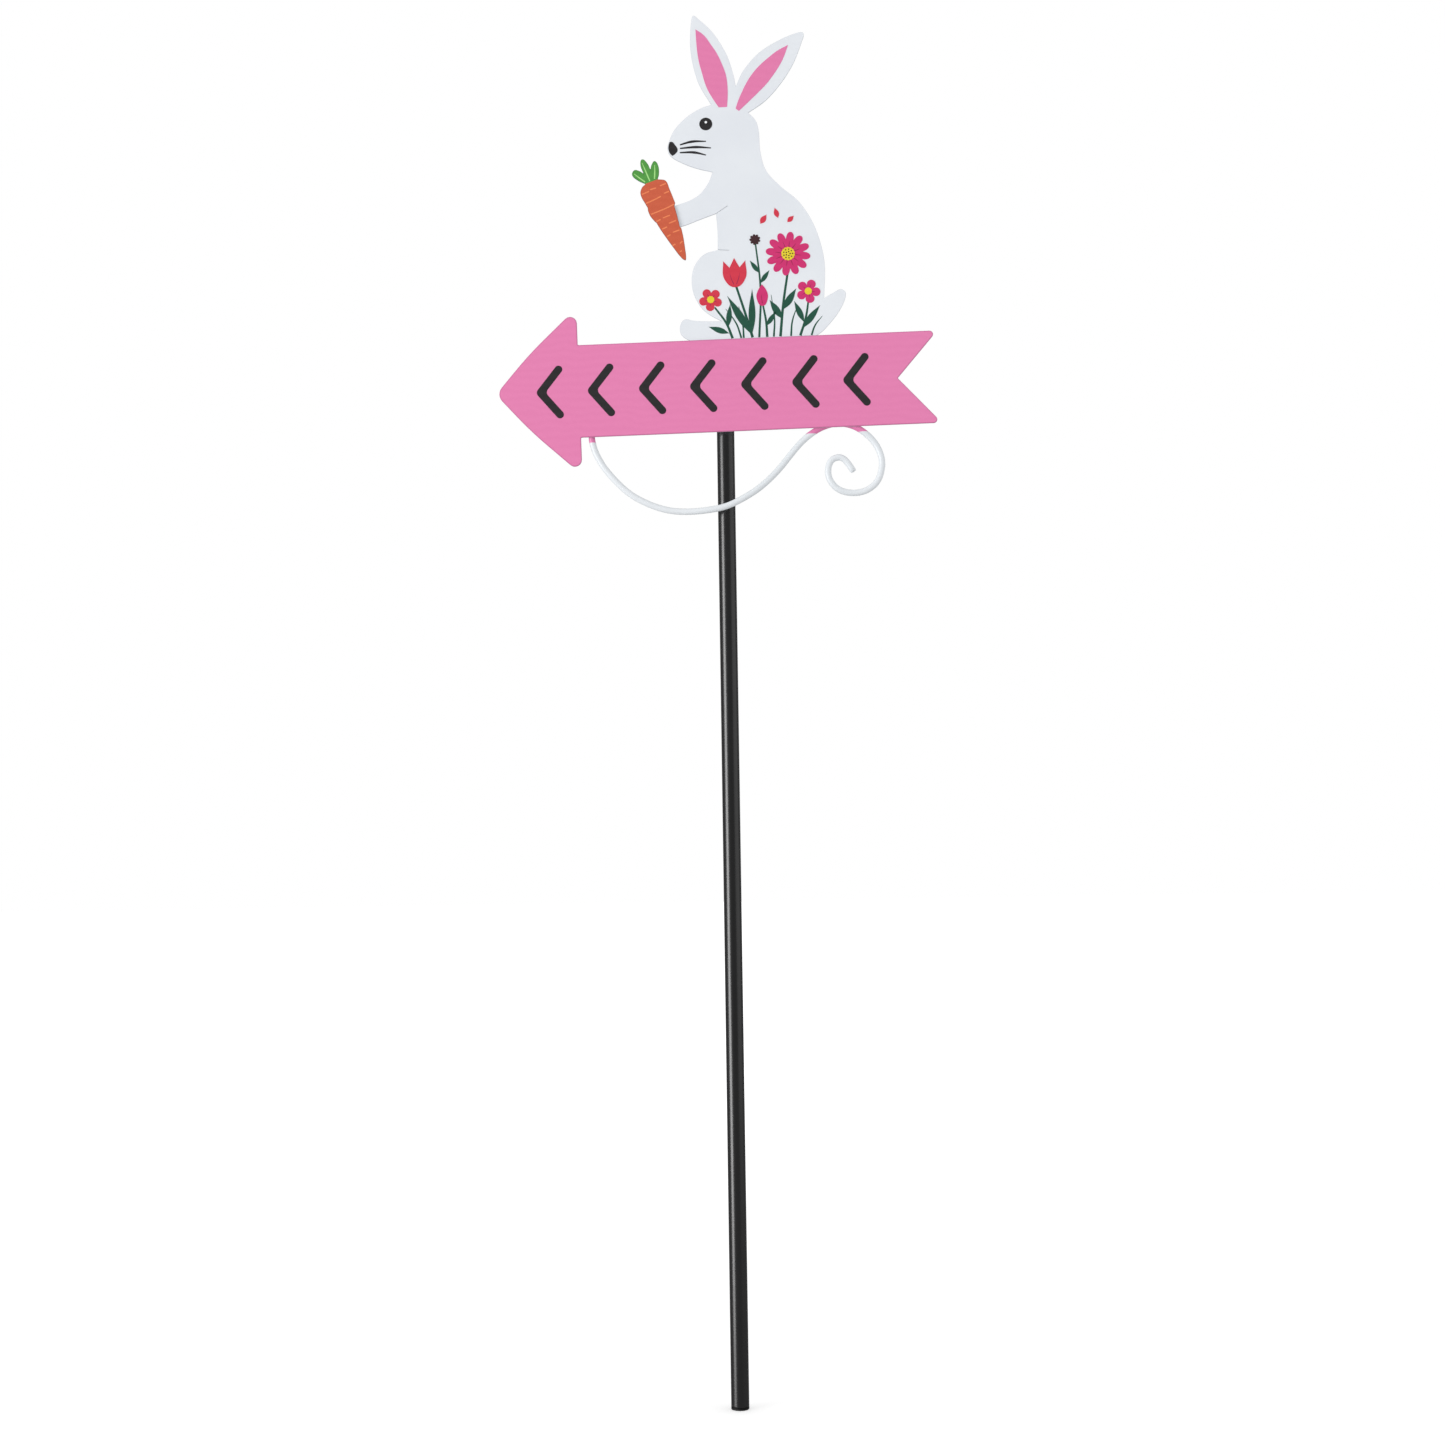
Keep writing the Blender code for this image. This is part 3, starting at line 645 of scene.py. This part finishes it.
def blossom(ink, x, z, radius, petals, dip, turn=0.0, layer=PETAL_LAYER):
    """Prints a flower of rounded petals. dip is how near the middle the notches come."""
    ring = bmesh.ops.create_circle(ink, cap_ends=True, segments=petals * PETAL_STEPS, radius=radius)["verts"]
    for vert in ring:
        angle = math.atan2(vert.co.y, vert.co.x) - turn
        vert.co *= dip + (1 - dip) * abs(math.sin(petals * angle / 2)) ** PETAL_ROUNDNESS
    print_face(ink, ring, x, z, layer)


def rays(ink, x, z, count, turn, widths):
    """Prints a crease along the middle of each petal, through (reach, width) points from the centre."""
    for petal in range(count):
        angle = turn + (petal + 0.5) * 2 * math.pi / count
        way = (math.cos(angle), math.sin(angle))
        line(ink, [(x + reach * way[0], z + reach * way[1], width) for reach, width in widths], CREASE_LAYER)


def leaf(ink, x0, z0, x1, z1, width, layer=1):
    """Prints a lance-shaped leaf from its stalk to its tip."""
    along = Vector((x1 - x0, z1 - z0))
    aside = along.orthogonal().normalized() * width / 2
    belly = Vector((x0, z0)) + along * LEAF_BELLY
    patch(ink, [(x0, z0, 1), tuple(belly + aside), (x1, z1, 1), tuple(belly - aside)], layer)


stems = bmesh.new()
for path in (
    [(43.5, 0.6, 2.1), (46.8, 26.0, STEM), (51.0, 49.0, 1.7)],
    [(22.5, 0.6, 2.1), (17.5, 20.0, STEM), (11.4, 41.5, 1.7)],
    [(58.5, 0.6, 2.0), (63.2, 14.0, 1.7), (65.8, 27.0, 1.4)],
    [(7.4, 0.6, 2.0), (3.0, 12.5, 1.7), (-5.2, 25.0, 1.4)],
    [(33.5, 0.6, 2.0), (33.2, 12.0, 1.7), (31.2, 26.0, 1.4)],
    [(27.5, 0.6, 1.7), (30.0, 38.0, 1.5), (27.6, 74.0, 1.2)],
    [(14.0, 0.6, 1.5), (10.5, 12.0, 1.2), (3.0, 23.5, 0.4)],
    [(15.8, 0.6, 1.5), (15.4, 12.0, 1.2), (13.0, 25.0, 0.4)],
    [(38.5, 0.6, 1.5), (39.6, 14.0, 1.2), (37.8, 33.0, 0.4)],
    [(51.5, 0.6, 1.5), (53.0, 12.0, 1.2), (57.5, 24.0, 0.4)],
    [(67.0, 0.6, 1.5), (70.0, 8.0, 1.2), (75.8, 15.0, 0.4)],
):
    line(stems, path)
for blade in (
    (45.4, 14.0, 36.5, 29.0, 5.2), (46.4, 21.0, 57.0, 37.0, 5.2), (21.7, 3.0, 4.5, 33.5, 5.8),
    (22.0, 2.0, 23.6, 38.0, 5.2), (5.0, 4.5, -10.5, 10.2, 4.4), (4.2, 9.0, 6.6, 27.0, 4.2),
    (60.4, 6.0, 74.6, 23.5, 4.8), (62.0, 10.5, 55.0, 27.5, 4.4), (33.2, 9.0, 41.0, 20.0, 3.6),
    (30.0, 42.0, 37.4, 52.0, 3.4), (29.6, 50.0, 22.8, 60.0, 3.4),
):
    leaf(stems, *blade)
add_print("stem_print", stems, stem_ink, "rabbit_plate")

magenta = bmesh.new()
blossom(magenta, *DAISY, 17.0, DAISY_PETALS, 0.52, DAISY_TURN)
blossom(magenta, *RIGHT_BLOSSOM, 9.2, RIGHT_PETALS, 0.42, RIGHT_TURN)
bud = [(31.0, 24.6), (26.8, 30.6), (28.0, 36.6), (31.2, 41.2, 1), (34.4, 36.4), (35.2, 30.4)]
patch(magenta, bud, PETAL_LAYER)
add_print("magenta_print", magenta, magenta_ink, "rabbit_plate")

red = bmesh.new()
patch(red, [
    (11.0, 39.8), (3.2, 46.0), (2.6, 60.2, 1), (7.2, 55.0, 1), (11.0, 62.4, 1), (14.8, 55.0, 1),
    (19.4, 60.2, 1), (18.8, 46.0),
], PETAL_LAYER)
blossom(red, *LEFT_BLOSSOM, 8.8, LEFT_PETALS, 0.42, LEFT_TURN)
for loose in (
    (32.0, 88.0, 37.0, 95.0, 4.2), (45.6, 92.0, 43.4, 100.0, 3.8), (52.5, 88.5, 57.6, 93.2, 3.6),
):
    leaf(red, *loose, PETAL_LAYER)
add_print("red_print", red, red_ink, "rabbit_plate")

creases = bmesh.new()
rays(creases, *DAISY, DAISY_PETALS, DAISY_TURN, ((5.4, 0.9), (9.0, 0.75), (13.0, 0.3)))
rays(creases, *RIGHT_BLOSSOM, RIGHT_PETALS, RIGHT_TURN, ((2.8, 0.8), (4.8, 0.65), (6.8, 0.3)))
rays(creases, *LEFT_BLOSSOM, LEFT_PETALS, LEFT_TURN, ((2.8, 0.8), (4.6, 0.65), (6.5, 0.3)))
line(creases, [(10.0, 42.0, 0.8), (7.8, 48.0, 0.7), (7.2, 54.4, 0.4)], CREASE_LAYER)
line(creases, [(12.0, 42.0, 0.8), (14.2, 48.0, 0.7), (14.8, 54.4, 0.4)], CREASE_LAYER)
line(creases, [(31.0, 26.6, 0.8), (30.5, 31.6, 0.7), (31.2, 37.0, 0.3)], CREASE_LAYER)
add_print("crease_print", creases, crease_ink, "rabbit_plate")

yellow = bmesh.new()
blossom(yellow, *DAISY, 5.2, 14, 0.86, layer=CENTRE_LAYER)
blossom(yellow, *RIGHT_BLOSSOM, 2.8, 9, 0.84, layer=CENTRE_LAYER)
blossom(yellow, *LEFT_BLOSSOM, 2.8, 9, 0.84, layer=CENTRE_LAYER)
add_print("flower_centre_print", yellow, yellow_ink, "rabbit_plate")

seeds = bmesh.new()
blossom(seeds, 27.4, 76.0, 4.2, 9, 0.55)
for ring, count in ((3.4, 9), (1.6, 5)):
    for seed in range(count):
        angle = seed * 2 * math.pi / count
        x, z = DAISY[0] + ring * math.cos(angle), DAISY[1] + ring * math.sin(angle)
        dot(seeds, x, z, SEED, SEED_LAYER)
add_print("seed_print", seeds, brown_ink, "rabbit_plate")


# The carrot's print: lighter growth lines across the root, and a light vein in each leaf that thins to its
# tip, in ink laid over the orange and the green.
GROWTH_LINE = 0.9
VEIN = 0.95
VEIN_TIP = 0.4

growth_ink = print_ink("light_orange_ink", "F08A5A", "EC8050")
vein_ink = print_ink("light_green_ink", "A8E08A", "9CD67E")
growth = bmesh.new()
for path in (
    [(-56.7, 114.1), (-51.3, 116.2)],
    [(-50.5, 117.5), (-45.9, 118.7)],
    [(-42.8, 120.2), (-38.2, 121.9)],
    [(-53.9, 107.0), (-49.3, 108.8), (-42.4, 112.0)],
    [(-40.0, 114.2), (-36.1, 115.6)],
    [(-50.5, 98.3), (-43.6, 100.8), (-38.2, 102.9), (-32.8, 105.4)],
    [(-46.6, 92.6), (-43.4, 94.0)],
    [(-41.5, 95.2), (-36.1, 97.1)],
    [(-37.1, 90.8), (-31.7, 92.9)],
    [(-42.4, 86.6), (-38.7, 88.1)],
    [(-34.4, 83.7), (-29.4, 85.4)],
    [(-38.9, 80.7), (-36.3, 82.0)],
    [(-29.4, 75.0), (-27.5, 76.6)],
    [(-35.2, 73.5), (-32.9, 74.6)],
    [(-29.6, 68.4), (-28.2, 69.4)],
):
    line(growth, [(x, z, GROWTH_LINE) for x, z in path])
add_print("growth_line_print", growth, growth_ink, "carrot_plate")
veins = bmesh.new()
line(veins, [(-62.1, 130.3, VEIN_TIP), (-57.7, 126.6, VEIN), (-54.0, 123.7, VEIN)])
line(veins, [(-55.7, 138.6, VEIN_TIP), (-53.0, 131.5, VEIN), (-50.3, 124.2, VEIN)])
line(veins, [(-46.2, 136.6, VEIN_TIP), (-46.3, 131.2, VEIN), (-46.7, 125.8, VEIN)])
add_print("leaf_vein_print", veins, vein_ink, "carrot_plate")


# The arrow's print: a row of black chevrons that point the way, in ink laid over the pink.
# Their ends are round, as if drawn with a brush.
CHEVRONS = 7
CHEVRON_PITCH = 38.5
FIRST_APEX = -139.0
CHEVRON_RUN = 16.0
CHEVRON_RISE = 19.5
STROKE = 5.8
END_ROUNDING = 0.498
END_STEPS = 8

slope = math.atan2(CHEVRON_RISE, CHEVRON_RUN)
apex = STROKE / 2 / math.sin(slope)
aside = Vector((-math.sin(slope), math.cos(slope))) * STROKE / 2
arm = Vector((CHEVRON_RUN, CHEVRON_RISE))
upper = [arm + aside, arm - aside]
chevrons = bmesh.new()
for index in range(CHEVRONS):
    corners = [(-apex, 0), *upper, (apex, 0), *[(x, -z) for x, z in reversed(upper)]]
    face = chevrons.faces.new([chevrons.verts.new((x, z, 0)) for x, z in corners])
    known = set(chevrons.verts) - set(face.verts)
    bmesh.ops.bevel(
        chevrons, geom=list(face.verts), offset=END_ROUNDING * STROKE, offset_type="OFFSET",
        segments=END_STEPS, profile=0.5, affect="VERTICES", material=-1, clamp_overlap=True,
    )
    outline = [vert for vert in chevrons.verts if vert not in known]
    print_face(chevrons, outline, FIRST_APEX + index * CHEVRON_PITCH, -BOARD_EDGE / MM, 1)
add_print("chevron_print", chevrons, black_ink, "arrow_board")


# Studio: a white floor in a dim room with a white wall behind the object, a tall softbox at the left and
# a dim white panel at the right. The camera stands where the photograph was taken from.
CAMERA_PLACE = (-0.0056, -1.498, 0.3869)
CAMERA_PITCH = math.radians(4.4)
CAMERA_ROLL = math.radians(-0.85)
ROOM_LIGHT = 0.89
ROOM_MIRRORED = 0.16
FLOOR_TOP_UP = 0.38
FAR_TOP_UP = 0.63
FLOOR_HALF = 30
FLOOR_DROP = 0.0002

floor_shape = bmesh.new()
bmesh.ops.create_grid(floor_shape, x_segments=1, y_segments=1, size=FLOOR_HALF)
bmesh.ops.translate(floor_shape, verts=floor_shape.verts, vec=(0, 0, -FLOOR_DROP))
floor_mesh = bpy.data.meshes.new("floor")
floor_shape.to_mesh(floor_mesh)
floor_shape.free()
floor = bpy.data.objects.new("floor", floor_mesh)
bpy.context.scene.collection.objects.link(floor)
# The softbox reaches below the floor, which therefore neither shades it nor hides it from the post's gloss.
floor.visible_glossy = floor.visible_shadow = False


def seen(tree):
    """1 for a ray that shows the background: straight to the camera, through glass or in a reflection.
    The second value marks a reflection."""
    path = add(tree, "LightPath").outputs
    mirrored = path["Is Glossy Ray"]
    shown = path["Is Camera Ray"]
    for other in (path["Is Transmission Ray"], mirrored):
        shown = add(tree, "Math", {0: shown, 1: other}, operation="MAXIMUM").outputs[0]
    return shown, mirrored


white_floor, tree, shader, place = new_finish("white_studio_floor")
shader.inputs["Base Color"].default_value = (0.70, 0.70, 0.70, 1.0)
shader.inputs["Roughness"].default_value = 0.9
shader.inputs["Specular IOR Level"].default_value = 0.0
shader.inputs["Emission Color"].default_value = (1, 1, 1, 1)
away = add(tree, "VectorMath", {0: place}, operation="LENGTH").outputs["Value"]
top_up = add(tree, "MapRange", {0: away, 1: 0.3, 2: 2.0, 3: FLOOR_TOP_UP, 4: FAR_TOP_UP}).outputs[0]
glow = add(tree, "Math", {0: seen(tree)[0], 1: top_up}, operation="MULTIPLY").outputs[0]
tree.links.new(glow, shader.inputs["Emission Strength"])
white_floor.cycles.emission_sampling = "NONE"
floor_mesh.materials.append(white_floor)

# The camera sees white all round. A glossy surface sees a white wall behind the object, and elsewhere a
# dimmer room.
world = bpy.data.worlds.new("white_room")
bpy.context.scene.world = world
world.use_nodes = True
world.cycles.sampling_method = "NONE"
tree = world.node_tree
shown, mirrored = seen(tree)
toward = add(tree, "SeparateXYZ", {0: add(tree, "TexCoord").outputs["Generated"]}).outputs["Y"]
wall = add(tree, "MapRange", {0: toward, 1: 0.90, 2: 0.99, 3: ROOM_MIRRORED, 4: 1.0}).outputs[0]
white = add(tree, "Mix", {0: mirrored, 2: 1.0, 3: wall}).outputs[0]
level = add(tree, "Mix", {0: shown, 2: ROOM_LIGHT, 3: white}).outputs[0]
tree.links.new(level, tree.nodes["Background"].inputs["Strength"])
tree.nodes["Background"].inputs["Color"].default_value = (1, 1, 1, 1)


def softbox(name, place, target, width, height, power):
    """A rectangular lamp that faces a target."""
    lamp = bpy.data.lights.new(name, "AREA")
    lamp.shape = "RECTANGLE"
    lamp.size, lamp.size_y = width, height
    lamp.energy = power
    stand = bpy.data.objects.new(name, lamp)
    stand.location = place
    stand.rotation_euler = (Vector(target) - Vector(place)).to_track_quat("-Z", "Y").to_euler()
    bpy.context.scene.collection.objects.link(stand)


softbox("left_softbox", (-3.9, -2.25, 0.45), (0, 0, 0.45), 2.2, 2.9, 104)
softbox("right_panel", (3.0, -1.0, 1.65), (0, 0, 1.65), 3.6, 3.7, 16)

lens = bpy.data.cameras.new("camera")
lens.lens = 50
lens.sensor_width = 36
camera = bpy.data.objects.new("camera", lens)
forward = Vector((0, math.cos(CAMERA_PITCH), math.sin(CAMERA_PITCH)))
level_up = Vector((0, -math.sin(CAMERA_PITCH), math.cos(CAMERA_PITCH)))
right = Vector((1, 0, 0)) * math.cos(CAMERA_ROLL) + level_up * math.sin(CAMERA_ROLL)
up = right.cross(forward)
turned = Matrix((right, up, -forward)).transposed().to_4x4()
camera.matrix_world = Matrix.Translation(CAMERA_PLACE) @ turned
bpy.context.scene.collection.objects.link(camera)
bpy.context.scene.camera = camera
bpy.context.scene.view_settings.view_transform = "Standard"
